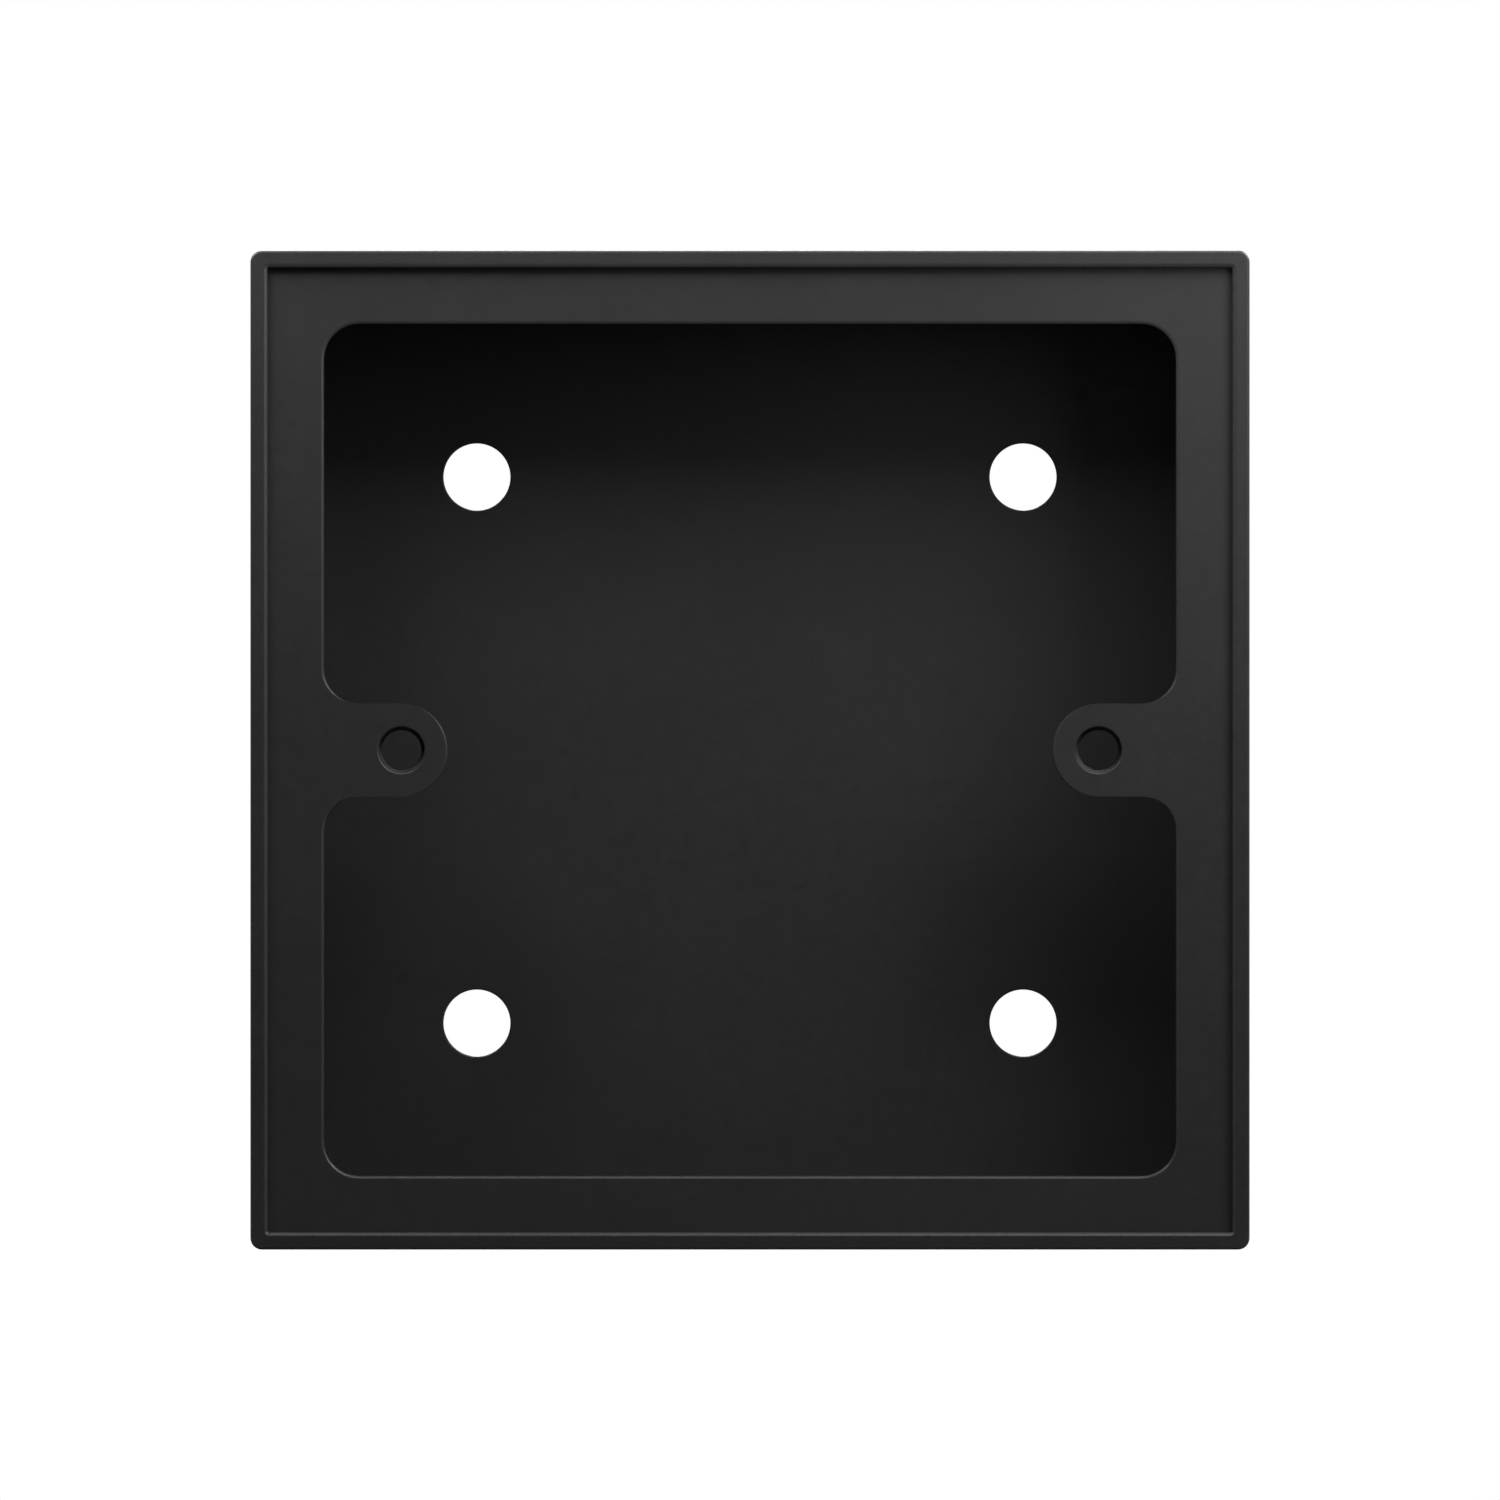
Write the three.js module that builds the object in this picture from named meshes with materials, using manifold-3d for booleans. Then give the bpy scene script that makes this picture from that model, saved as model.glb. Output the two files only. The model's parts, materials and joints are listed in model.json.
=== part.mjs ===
// A square surface-mount wall box for a wall panel, 86 mm standard size, empty and open at the front.
//
// Millimetres, +Z up. The wall plane is y = 0 and the box stands out of it towards -Y, so a person
// facing the wall looks along +Y. The origin is the centre of the rear plate's wall face.
//
// The box comes apart into a moulded shell (side walls, raised lip, landing for the panel, two fixing
// lugs, four corner posts), a rear plate let into the back of the shell, four countersunk screws that
// hold the plate to the posts, and two threaded inserts pushed into the lugs from behind.

import * as THREE from 'three';
import { mergeVertices } from 'three/addons/utils/BufferGeometryUtils.js';
import Module from 'manifold-3d';

// ---- Driving dimensions ------------------------------------------------------------------------

const BOX_SIDE = 86;
const BOX_DEPTH = 35;
const BOX_CORNER_RADIUS = 1;
const WALL_THICKNESS = 2.5;

const LIP_WIDTH = 1.5;
const LIP_HEIGHT = 1.5;
const LIP_CORNER_RADIUS = 0.1;
const LANDING_THICKNESS = 2.5;
const APERTURE_SIDE = 73.3;
const APERTURE_CORNER_RADIUS = 3;

const LUG_PITCH = 60;
const LUG_END_RADIUS = 4;
const LUG_ROOT_RADIUS = 3;
const LUG_HOLE_DIAMETER = 4;
const LUG_LENGTH = 9;

const PLATE_THICKNESS = 2.5;
const PLATE_REBATE = 1;
const PLATE_CLEARANCE = 0.2;
const PLATE_CORNER_RADIUS = 0.8;
const WALL_HOLE_PITCH = 47;
const WALL_HOLE_DIAMETER = 5.75;

const POST_RADIUS = 2.7;
const PILOT_DIAMETER = 1.8;
const PILOT_DEPTH = 12;

const SCREW_HEAD_DIAMETER = 3.8;
const SCREW_CORE_DIAMETER = 1.6;
const SCREW_LENGTH = 11;
const SCREW_POINT_LENGTH = 1.2;
const SCREW_HEAD_SINK = 0.1;
const SCREW_CLEARANCE = 0.1;
const DRIVE_SLOT_LENGTH = 2.2;
const DRIVE_SLOT_WIDTH = 0.5;
const DRIVE_SLOT_DEPTH = 0.7;

const INSERT_DIAMETER = 5.6;
const INSERT_LENGTH = 6;
const INSERT_BORE_DIAMETER = 3.4;
const INSERT_CHAMFER = 0.3;
const INSERT_GROOVE_WIDTH = 1;
const INSERT_GROOVE_DEPTH = 0.4;
const INSERT_CLEARANCE = 0.05;

const KNOCKOUT_DIAMETER = 20;
const KNOCKOUT_SCORE_WIDTH = 0.8;
const KNOCKOUT_WEB = 1;

// An arc in an outline is cut into twice its steps, so a disc has ROUND_SIDES sides.
const ARC_STEPS = 4;
const ROUND_SIDES = 32;
// How far a cutting solid runs past the face it opens.
const OVERCUT = 1;
const MERGE_DISTANCE = 1e-5;

// ---- Sizes and places that follow from them ----------------------------------------------------

const HALF_SIDE = BOX_SIDE / 2;
const INNER_HALF = HALF_SIDE - WALL_THICKNESS;
const LANDING_FRONT = BOX_DEPTH - LIP_HEIGHT;
const LANDING_BACK = LANDING_FRONT - LANDING_THICKNESS;
const REBATE_HALF = INNER_HALF + PLATE_REBATE;
const LUG_BACK = LANDING_FRONT - LUG_LENGTH;
const LUG_X = LUG_PITCH / 2;
const POST_CENTRE = INNER_HALF - POST_RADIUS;
const KNOCKOUT_HEIGHT = (PLATE_THICKNESS + LANDING_BACK) / 2;

// ---- Manifold helpers --------------------------------------------------------------------------

const wasm = await Module();
wasm.setup();

function toSolid(geometry) {
  geometry.deleteAttribute('normal');
  geometry.deleteAttribute('uv');
  const merged = mergeVertices(geometry, MERGE_DISTANCE);
  return new wasm.Manifold(new wasm.Mesh({
    numProp: 3,
    vertProperties: new Float32Array(merged.attributes.position.array),
    triVerts: new Uint32Array(merged.index.array),
  }));
}

function toMesh(name, solid, material) {
  const { vertProperties, triVerts } = solid.getMesh();
  const geometry = new THREE.BufferGeometry();
  geometry.setAttribute('position', new THREE.BufferAttribute(vertProperties, 3));
  geometry.setIndex(new THREE.BufferAttribute(triVerts, 1));
  geometry.computeVertexNormals();
  const mesh = new THREE.Mesh(geometry, material);
  mesh.name = name;
  return mesh;
}

// ---- Shape helpers -----------------------------------------------------------------------------
// Outlines are drawn facing the wall, x to the right and y up. Heights are measured from the wall
// plane towards the room, so height h is y = -h once a slab stands in the box's frame.

function slab(outline, lowHeight, highHeight, steps = ARC_STEPS) {
  const geometry = new THREE.ExtrudeGeometry(outline, {
    depth: highHeight - lowHeight,
    bevelEnabled: false,
    curveSegments: steps,
  });
  geometry.translate(0, 0, lowHeight);
  geometry.rotateX(Math.PI / 2);
  return toSolid(geometry);
}

function roundedSquare(half, radius) {
  const straight = half - radius;
  const outline = new THREE.Shape();
  outline.absarc(straight, straight, radius, 0, Math.PI / 2);
  outline.absarc(-straight, straight, radius, Math.PI / 2, Math.PI);
  outline.absarc(-straight, -straight, radius, Math.PI, 1.5 * Math.PI);
  outline.absarc(straight, -straight, radius, 1.5 * Math.PI, 2 * Math.PI);
  return outline;
}

function disc(x, y, diameter) {
  const outline = new THREE.Shape();
  outline.absarc(x, y, diameter / 2, 0, 2 * Math.PI);
  return outline;
}

function rod(x, z, diameter, lowHeight, highHeight) {
  return slab(disc(x, z, diameter), lowHeight, highHeight, ROUND_SIDES / 2);
}

// The opening inside the landing: a rounded square that the two lugs reach into from left and right.
function apertureOutline() {
  const half = APERTURE_SIDE / 2;
  const corner = half - APERTURE_CORNER_RADIUS;
  const root = half - LUG_ROOT_RADIUS;
  const rootHeight = LUG_END_RADIUS + LUG_ROOT_RADIUS;
  const quarter = Math.PI / 2;
  const outline = new THREE.Shape();
  outline.absarc(root, -rootHeight, LUG_ROOT_RADIUS, 0, quarter);
  outline.absarc(LUG_X, 0, LUG_END_RADIUS, -quarter, quarter, true);
  outline.absarc(root, rootHeight, LUG_ROOT_RADIUS, -quarter, 0);
  outline.absarc(corner, corner, APERTURE_CORNER_RADIUS, 0, quarter);
  outline.absarc(-corner, corner, APERTURE_CORNER_RADIUS, quarter, 2 * quarter);
  outline.absarc(-root, rootHeight, LUG_ROOT_RADIUS, 2 * quarter, 3 * quarter);
  outline.absarc(-LUG_X, 0, LUG_END_RADIUS, quarter, -quarter, true);
  outline.absarc(-root, -rootHeight, LUG_ROOT_RADIUS, quarter, 2 * quarter);
  outline.absarc(-corner, -corner, APERTURE_CORNER_RADIUS, 2 * quarter, 3 * quarter);
  outline.absarc(corner, -corner, APERTURE_CORNER_RADIUS, 3 * quarter, 4 * quarter);
  return outline;
}

// The lug's footprint behind the landing, from its round end out into the side wall.
function lugOutline(side) {
  const quarter = Math.PI / 2;
  const wall = side * (INNER_HALF + WALL_THICKNESS / 2);
  const outline = new THREE.Shape();
  outline.moveTo(wall, side * -LUG_END_RADIUS);
  outline.lineTo(wall, side * LUG_END_RADIUS);
  outline.absarc(side * LUG_X, 0, LUG_END_RADIUS, side * quarter, side * quarter + Math.PI);
  outline.closePath();
  return outline;
}

// A corner post's footprint: round towards the middle of the box, square into the two walls.
function postOutline(signX, signZ) {
  const centreX = signX * POST_CENTRE;
  const centreZ = signZ * POST_CENTRE;
  const wall = INNER_HALF + WALL_THICKNESS / 2;
  const towardsCentre = Math.atan2(-signZ, -signX);
  const quarter = Math.PI / 2;
  const mirrored = signX * signZ < 0;
  const edge = [
    [signX * wall, signZ * (POST_CENTRE - POST_RADIUS)],
    [signX * wall, signZ * wall],
    [signX * (POST_CENTRE - POST_RADIUS), signZ * wall],
  ];
  if (mirrored) edge.reverse();
  const outline = new THREE.Shape();
  for (const [index, [x, z]] of edge.entries()) {
    if (index === 0) outline.moveTo(x, z);
    else outline.lineTo(x, z);
  }
  outline.absarc(centreX, centreZ, POST_RADIUS, towardsCentre - quarter / 2, towardsCentre + quarter / 2);
  outline.closePath();
  return outline;
}

const CORNERS = [
  ['top_left', -1, 1],
  ['top_right', 1, 1],
  ['bottom_left', -1, -1],
  ['bottom_right', 1, -1],
];
const SIDES = [
  ['left', -1],
  ['right', 1],
];

// ---- The pieces --------------------------------------------------------------------------------

// A score line around a cable knockout, cut into the outer face of the top or bottom wall.
function knockoutScore(sign) {
  const outer = KNOCKOUT_DIAMETER / 2;
  const ring = disc(0, 0, KNOCKOUT_DIAMETER);
  const island = new THREE.Path();
  island.absarc(0, 0, outer - KNOCKOUT_SCORE_WIDTH, 0, 2 * Math.PI);
  ring.holes.push(island);
  const depth = WALL_THICKNESS - KNOCKOUT_WEB + OVERCUT;
  const geometry = new THREE.ExtrudeGeometry(ring, {
    depth,
    bevelEnabled: false,
    curveSegments: ROUND_SIDES / 2,
  });
  const innerFace = HALF_SIDE - WALL_THICKNESS + KNOCKOUT_WEB;
  geometry.translate(0, -KNOCKOUT_HEIGHT, sign > 0 ? innerFace : -innerFace - depth);
  return toSolid(geometry);
}

function boxShell() {
  let shell = slab(roundedSquare(HALF_SIDE, BOX_CORNER_RADIUS), 0, BOX_DEPTH);

  const panelRecess = roundedSquare(HALF_SIDE - LIP_WIDTH, LIP_CORNER_RADIUS);
  shell = shell.subtract(slab(panelRecess, LANDING_FRONT, BOX_DEPTH + OVERCUT));
  shell = shell.subtract(slab(apertureOutline(), LANDING_BACK - OVERCUT, LANDING_FRONT + OVERCUT));

  const cavity = roundedSquare(INNER_HALF, BOX_CORNER_RADIUS);
  shell = shell.subtract(slab(cavity, -OVERCUT, LANDING_BACK));
  const rebate = roundedSquare(REBATE_HALF, BOX_CORNER_RADIUS);
  shell = shell.subtract(slab(rebate, -OVERCUT, PLATE_THICKNESS));

  for (const [, signX, signZ] of CORNERS) {
    const post = slab(postOutline(signX, signZ), PLATE_THICKNESS, LANDING_BACK + OVERCUT);
    const pilot = rod(
      signX * POST_CENTRE, signZ * POST_CENTRE, PILOT_DIAMETER,
      PLATE_THICKNESS - OVERCUT, PLATE_THICKNESS + PILOT_DEPTH,
    );
    shell = shell.add(post).subtract(pilot);
  }

  for (const [, side] of SIDES) {
    const column = slab(lugOutline(side), LUG_BACK, LANDING_BACK + OVERCUT);
    const pocketDiameter = INSERT_DIAMETER + 2 * INSERT_CLEARANCE;
    const pocket = rod(side * LUG_X, 0, pocketDiameter, LUG_BACK - OVERCUT, LANDING_BACK);
    const hole = rod(side * LUG_X, 0, LUG_HOLE_DIAMETER, LUG_BACK, LANDING_FRONT + OVERCUT);
    shell = shell.add(column).subtract(pocket).subtract(hole);
  }

  for (const sign of [1, -1]) shell = shell.subtract(knockoutScore(sign));
  return shell;
}

// A countersunk screw along +Z before it is turned: head top at z = 0, point at z = SCREW_LENGTH.
function screwProfile(clearance) {
  const head = SCREW_HEAD_DIAMETER / 2 + clearance;
  const core = SCREW_CORE_DIAMETER / 2 + clearance;
  return [
    [0, 0],
    [head, 0],
    [core, head - core],
    [core, SCREW_LENGTH - SCREW_POINT_LENGTH],
    [0, SCREW_LENGTH],
  ].map(([radius, height]) => new THREE.Vector2(radius, height));
}

// Turns a profile of radius against height into a solid standing on the wall plane's normal.
function turned(profile, x, z, height) {
  const geometry = new THREE.LatheGeometry(profile, ROUND_SIDES);
  geometry.rotateX(Math.PI);
  geometry.translate(x, -height, z);
  return toSolid(geometry);
}

function rearPlate() {
  const half = REBATE_HALF - PLATE_CLEARANCE;
  let plate = slab(roundedSquare(half, PLATE_CORNER_RADIUS), 0, PLATE_THICKNESS);
  for (const [, signX, signZ] of CORNERS) {
    const wallHole = rod(
      signX * WALL_HOLE_PITCH / 2, signZ * WALL_HOLE_PITCH / 2, WALL_HOLE_DIAMETER,
      -OVERCUT, PLATE_THICKNESS + OVERCUT,
    );
    const x = signX * POST_CENTRE;
    const z = signZ * POST_CENTRE;
    const headRoom = rod(x, z, SCREW_HEAD_DIAMETER + 2 * SCREW_CLEARANCE, -OVERCUT, SCREW_HEAD_SINK);
    const countersink = turned(screwProfile(SCREW_CLEARANCE), x, z, SCREW_HEAD_SINK);
    plate = plate.subtract(wallHole).subtract(headRoom).subtract(countersink);
  }
  return plate;
}

function plateScrew(signX, signZ) {
  const x = signX * POST_CENTRE;
  const z = signZ * POST_CENTRE;
  let screw = turned(screwProfile(0), x, z, SCREW_HEAD_SINK);
  for (const turn of [0, Math.PI / 2]) {
    const slot = new THREE.BoxGeometry(DRIVE_SLOT_LENGTH, 2 * DRIVE_SLOT_DEPTH, DRIVE_SLOT_WIDTH);
    slot.rotateY(turn);
    slot.translate(x, -SCREW_HEAD_SINK, z);
    screw = screw.subtract(toSolid(slot));
  }
  return screw;
}

// A threaded insert: a chamfered bush with a groove around its middle and a plain bore.
function lugInsert(side) {
  const outer = INSERT_DIAMETER / 2;
  const bore = INSERT_BORE_DIAMETER / 2;
  const middle = INSERT_LENGTH / 2;
  const groove = INSERT_GROOVE_WIDTH / 2;
  const profile = [
    [bore + INSERT_CHAMFER, 0],
    [outer - INSERT_CHAMFER, 0],
    [outer, INSERT_CHAMFER],
    [outer, middle - groove],
    [outer - INSERT_GROOVE_DEPTH, middle - groove],
    [outer - INSERT_GROOVE_DEPTH, middle + groove],
    [outer, middle + groove],
    [outer, INSERT_LENGTH - INSERT_CHAMFER],
    [outer - INSERT_CHAMFER, INSERT_LENGTH],
    [bore + INSERT_CHAMFER, INSERT_LENGTH],
    [bore, INSERT_LENGTH - INSERT_CHAMFER],
    [bore, INSERT_CHAMFER],
    [bore + INSERT_CHAMFER, 0],
  ].map(([radius, height]) => new THREE.Vector2(radius, height));
  return turned(profile, side * LUG_X, 0, LANDING_BACK - INSERT_LENGTH);
}

// ---- Materials and assembly --------------------------------------------------------------------

const surface = (color, roughness, metalness) =>
  new THREE.MeshStandardMaterial({ color, roughness, metalness });
const blackPlastic = () => surface(0x1f1f1f, 0.6, 0);
const zincSteel = () => surface(0xa9acb0, 0.35, 1);
const blackenedSteel = () => surface(0x2a2a2c, 0.5, 1);

const wallBox = new THREE.Group();
wallBox.add(toMesh('box_shell', boxShell(), blackPlastic()));
wallBox.add(toMesh('rear_plate', rearPlate(), blackPlastic()));
for (const [corner, signX, signZ] of CORNERS) {
  wallBox.add(toMesh(`plate_screw_${corner}`, plateScrew(signX, signZ), zincSteel()));
}
for (const [side, sign] of SIDES) {
  wallBox.add(toMesh(`lug_insert_${side}`, lugInsert(sign), blackenedSteel()));
}

export default wallBox;
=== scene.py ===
"""The visual model of a square surface-mount wall box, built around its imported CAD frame.

Lengths are metres in the CAD's frame: the wall plane is y = 0, the open front faces -Y and +Z is up.
Outlines are drawn facing the wall as (x, z) points. A height is a distance from the wall plane
towards the room, so the point (x, z) at height h is (x, -h, z).
"""
import json
import math

import bmesh
import bpy
from mathutils import Matrix, Vector


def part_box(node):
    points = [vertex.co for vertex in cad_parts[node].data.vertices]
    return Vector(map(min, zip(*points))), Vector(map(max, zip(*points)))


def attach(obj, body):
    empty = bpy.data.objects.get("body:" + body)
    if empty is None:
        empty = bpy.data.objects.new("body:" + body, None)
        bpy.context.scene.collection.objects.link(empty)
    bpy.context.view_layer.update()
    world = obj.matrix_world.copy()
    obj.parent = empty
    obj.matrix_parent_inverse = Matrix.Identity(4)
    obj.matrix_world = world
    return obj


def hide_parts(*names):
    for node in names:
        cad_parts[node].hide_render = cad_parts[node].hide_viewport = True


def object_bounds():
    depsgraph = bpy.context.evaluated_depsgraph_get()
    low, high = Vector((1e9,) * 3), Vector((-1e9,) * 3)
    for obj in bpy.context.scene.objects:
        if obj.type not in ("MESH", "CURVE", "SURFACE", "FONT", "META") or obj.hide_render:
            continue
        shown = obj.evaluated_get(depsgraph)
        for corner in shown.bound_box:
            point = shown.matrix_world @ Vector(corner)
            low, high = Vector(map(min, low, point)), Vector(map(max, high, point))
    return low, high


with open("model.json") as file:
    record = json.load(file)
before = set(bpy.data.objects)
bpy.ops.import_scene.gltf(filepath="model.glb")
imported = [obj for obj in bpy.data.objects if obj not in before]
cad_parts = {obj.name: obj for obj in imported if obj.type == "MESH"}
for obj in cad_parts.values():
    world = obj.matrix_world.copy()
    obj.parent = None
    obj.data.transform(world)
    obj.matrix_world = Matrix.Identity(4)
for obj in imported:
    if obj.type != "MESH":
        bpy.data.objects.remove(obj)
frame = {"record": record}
cad_low, cad_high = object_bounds()

MM = 0.001
QUARTER = math.pi / 2
CORNERS = {
    "top_left": (-1, 1),
    "top_right": (1, 1),
    "bottom_left": (-1, -1),
    "bottom_right": (1, -1),
}
SIDES = {"left": -1, "right": 1}


# ---- Sizes read from the frame -------------------------------------------------------------------


def mount_height(name):
    """The height above the wall plane of one of the record's mounts."""
    mounts = {mount["name"]: mount for mount in frame["record"]["mounts"]}
    return -mounts[name]["pos_m"][1]


shell_low, shell_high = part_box("box_shell")
plate_low, plate_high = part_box("rear_plate")
screw_low, screw_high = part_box("plate_screw_top_right")
insert_low, insert_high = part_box("lug_insert_right")

HALF_SIDE = shell_high.x
DEPTH = -shell_low.y
LANDING_FRONT = mount_height("panel_seat")
PLATE_HALF = plate_high.x
PLATE_THICKNESS = -plate_low.y
POST_CENTRE = (screw_low.x + screw_high.x) / 2
SCREW_HEAD_RADIUS = (screw_high.x - screw_low.x) / 2
SCREW_HEAD_HEIGHT = -screw_high.y
SCREW_LENGTH = screw_high.y - screw_low.y
LUG_X = (insert_low.x + insert_high.x) / 2
INSERT_RADIUS = (insert_high.x - insert_low.x) / 2
INSERT_LENGTH = insert_high.y - insert_low.y
LANDING_BACK = -insert_low.y

# ---- Sizes of the finer shapes -------------------------------------------------------------------

# The shell.
OUTER_CORNER = 1.0 * MM
OUTER_EDGE = 0.2 * MM
LIP_WIDTH = 1.5 * MM
LIP_CORNER = 0.1 * MM
LIP_EDGE = 0.4 * MM
APERTURE_HALF = 36.65 * MM
APERTURE_CORNER = 3.0 * MM
APERTURE_EDGE = 0.3 * MM
LUG_END = 4.0 * MM
LUG_ROOT = 3.0 * MM
LUG_HOLE = 2.0 * MM
LUG_HOLE_EDGE = 0.12 * MM
# How much of the aperture's rounded edge the lugs keep at their tips.
LUG_TIP_SHARE = 0.7
WALL = 2.5 * MM
POST_RADIUS = 2.7 * MM
PILOT_RADIUS = 0.9 * MM
PILOT_DEPTH = 12.0 * MM
REBATE_HALF = PLATE_HALF + 0.2 * MM
REBATE_CORNER = 1.0 * MM

# The columns behind the lugs, measured from the landing's front face.
COLUMN_LENGTH = 9.0 * MM
COLUMN_DRAFT = 0.15 * MM
COLUMN_EMBED = 1.0 * MM
COLUMN_EDGE = 0.2 * MM
COLUMN_POCKET = INSERT_RADIUS + 0.05 * MM

# The score line round a cable knockout.
KNOCKOUT_RADIUS = 10.0 * MM
SCORE_WIDTH = 0.8 * MM
SCORE_DEPTH = 1.5 * MM
SCORE_EDGE = 0.15 * MM

# The rear plate.
PLATE_CORNER = 0.8 * MM
PLATE_EDGE = 0.2 * MM
WALL_HOLE_OFFSET = 23.5 * MM
WALL_HOLE_RADIUS = 2.875 * MM
WALL_HOLE_EDGE = 0.15 * MM
COUNTERSINK_RADIUS = SCREW_HEAD_RADIUS + 0.1 * MM
PLATE_SCREW_HOLE = 0.9 * MM
EJECTOR_RADIUS = 2.0 * MM
EJECTOR_DEPTH = 0.12 * MM
EJECTOR_OFFSET = 31.0 * MM
EJECTOR_MARKS = 4

# The rear plate's screws.
THREAD_CORE = 0.8 * MM
THREAD_CREST = 1.1 * MM
THREAD_PITCH = 0.8 * MM
# How much of its pitch the ridge of a thread fills.
THREAD_RIDGE_SHARE = 0.8
SCREW_POINT = 1.6 * MM
SCREW_HEAD_RIM = 0.12 * MM
RECESS_LENGTH = 2.2 * MM
RECESS_WIDTH = 0.55 * MM
RECESS_DEPTH = 0.8 * MM

# The lug inserts.
INSERT_CREST = 1.7 * MM
INSERT_THREAD_DEPTH = 0.3 * MM
INSERT_PITCH = 0.7 * MM
INSERT_CHAMFER = 0.3 * MM
INSERT_LEAD = 0.1 * MM
KNURL_DEPTH = 0.22 * MM
KNURL_TEETH = 30
# How many teeth the knurl slants by in each millimetre.
KNURL_TWIST = 0.6
KNURL_LEAD = 0.08 * MM
GROOVE_HALF = 0.5 * MM
GROOVE_DEPTH = 0.4 * MM

# Small steps and gaps that keep faces from lying in one another, and how far a cutter overshoots.
COLUMN_STEP = 0.05 * MM
INSERT_SEAT_GAP = 0.05 * MM
SCORE_OVER = 0.5 * MM
RECESS_OVER = 0.5 * MM

# Each side of the score line leans in by this much, and the cross recess narrows to this share.
SCORE_TAPER = 0.1 * MM
RECESS_TAPER = 0.45

# ---- Looks ---------------------------------------------------------------------------------------

# A patch, grain, speckle or mottle is about as wide as the length given for it.
PLASTIC_TONE = 0.03
SHELL_ROUGHNESS = 0.4
PLATE_ROUGHNESS = 0.42
PLASTIC_GRAIN = 0.16 * MM
PLASTIC_GRAIN_DEPTH = 0.008 * MM
SPECKLE = 0.4 * MM
SPECKLE_SHARE = 0.05
MOTTLE = 9 * MM
MOTTLE_SHARE = 0.06
SHEEN_PATCH = 1.2 * MM
SHEEN_CHANGE = 0.03
# Rounded edges are smoother than the flat faces, and their colour is made lighter as a painted
# highlight.
EDGE_POLISH = 0.12
EDGE_PAINTED_HIGHLIGHT = 1.2

SCREW_COLOUR = (0.62, 0.62, 0.6)
SCREW_ROUGHNESS = 0.32
SCREW_METALLIC = 0.7
INSERT_COLOUR = (0.14, 0.14, 0.142)
INSERT_ROUGHNESS = 0.5
INSERT_METALLIC = 0.2
STEEL_PATCH = 0.7 * MM
STEEL_PATCH_SHARE = 0.2
STEEL_GRAIN = 0.05 * MM
STEEL_GRAIN_DEPTH = 0.002 * MM
STEEL_EDGE_POLISH = 0.08
BUMP_STRENGTH = 0.5
# Nearly all of a smooth noise's values lie between these two.
NOISE_LOW = 0.3
NOISE_HIGH = 0.7

FLOOR_HALF = 0.5
FLOOR_ROUGHNESS = 0.9
# The floor's tone to the camera, and to every other ray.
FLOOR_TONE = 0.5
FLOOR_BOUNCE = 0.05
# How far from the box's centre the floor starts to fade, and where it is gone.
FLOOR_FADE_START = 0.08
FLOOR_FADE_END = 0.16
# How many times as wide as the box the camera's view is.
VIEW_SHARE = 1.5012
CAMERA_DISTANCE = 0.4

# Soft lights: place in metres, width and height in metres, power in watts. The last three stand
# behind the front face, so they light the sides, top and back and leave the front alone.
LIGHTS = {
    "key_light": ((0.03, -0.20, 0.14), (0.08, 0.08), 0.083),
    "right_light": ((0.11, -0.20, 0.14), (0.08, 0.08), 0.112),
    "low_right_light": ((0.08, -0.12, 0.05), (0.05, 0.05), 0.027),
    "left_light": ((-0.07, -0.12, 0.09), (0.05, 0.05), 0.040),
    "low_fill_light": ((0.03, -0.20, 0.05), (0.08, 0.08), 0.0055),
    "top_strip_light": ((0, -0.055, 0.08), (0.16, 0.03), 0.024),
    "right_side_light": ((0.33, 0.04, 0.26), (0.25, 0.25), 2.0),
    "left_side_light": ((-0.33, 0.08, 0.28), (0.25, 0.25), 1.7),
    "back_light": ((-0.08, 0.28, 0.40), (0.30, 0.30), 3.8),
}
LIGHT_TARGET = (0, -0.03, 0)

# ---- How finely shapes are divided ---------------------------------------------------------------

# Steps in a quarter circle, and round a rounded edge.
CORNER_STEPS = 8
EDGE_STEPS = 5
ROUND_SIDES = 72
SCREW_SIDES = 48
INSERT_SIDES = 120
KNURL_ROWS = 12
# Rows in one turn of a thread.
THREAD_ROWS = 10
# Faces shade as one surface where the angle between them is less than the one with this cosine.
SMOOTH_LIMIT = math.cos(math.radians(32))
# A flat face's normal lies along an axis at least this closely.
FLAT = 0.99999
# How close two points are welded after a join or a cut, in millimetres.
WELD = 0.02


# ---- Outlines ------------------------------------------------------------------------------------


def arc(centre_x, centre_z, radius, start, end, steps=CORNER_STEPS, last_radius=None):
    """Points along an arc, both ends included; it runs clockwise when end is less than start. With a
    last radius, the arc's radius eases from one to the other."""
    change = 0 if last_radius is None else last_radius - radius
    points = []
    for step in range(steps + 1):
        share = step / steps
        angle = start + (end - start) * share
        reach = radius + change * (1 - math.cos(math.pi * share)) / 2
        points.append((centre_x + reach * math.cos(angle), centre_z + reach * math.sin(angle)))
    return points


def circle(centre_x, centre_z, radius, sides=ROUND_SIDES):
    """A closed circle; the first point isn't repeated."""
    return arc(centre_x, centre_z, radius, 0, 2 * math.pi, sides)[:-1]


def quarter_turns(stretch):
    """A stretch of outline, followed by the same stretch turned by one, two and three quarters."""
    points = []
    for _ in range(4):
        points += stretch
        stretch = [(-z, x) for x, z in stretch]
    return points


def rounded_square(half, radius):
    """A square of half side half with its four corners rounded, drawn anticlockwise."""
    straight = half - radius
    return quarter_turns(arc(straight, straight, radius, 0, QUARTER))


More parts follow.
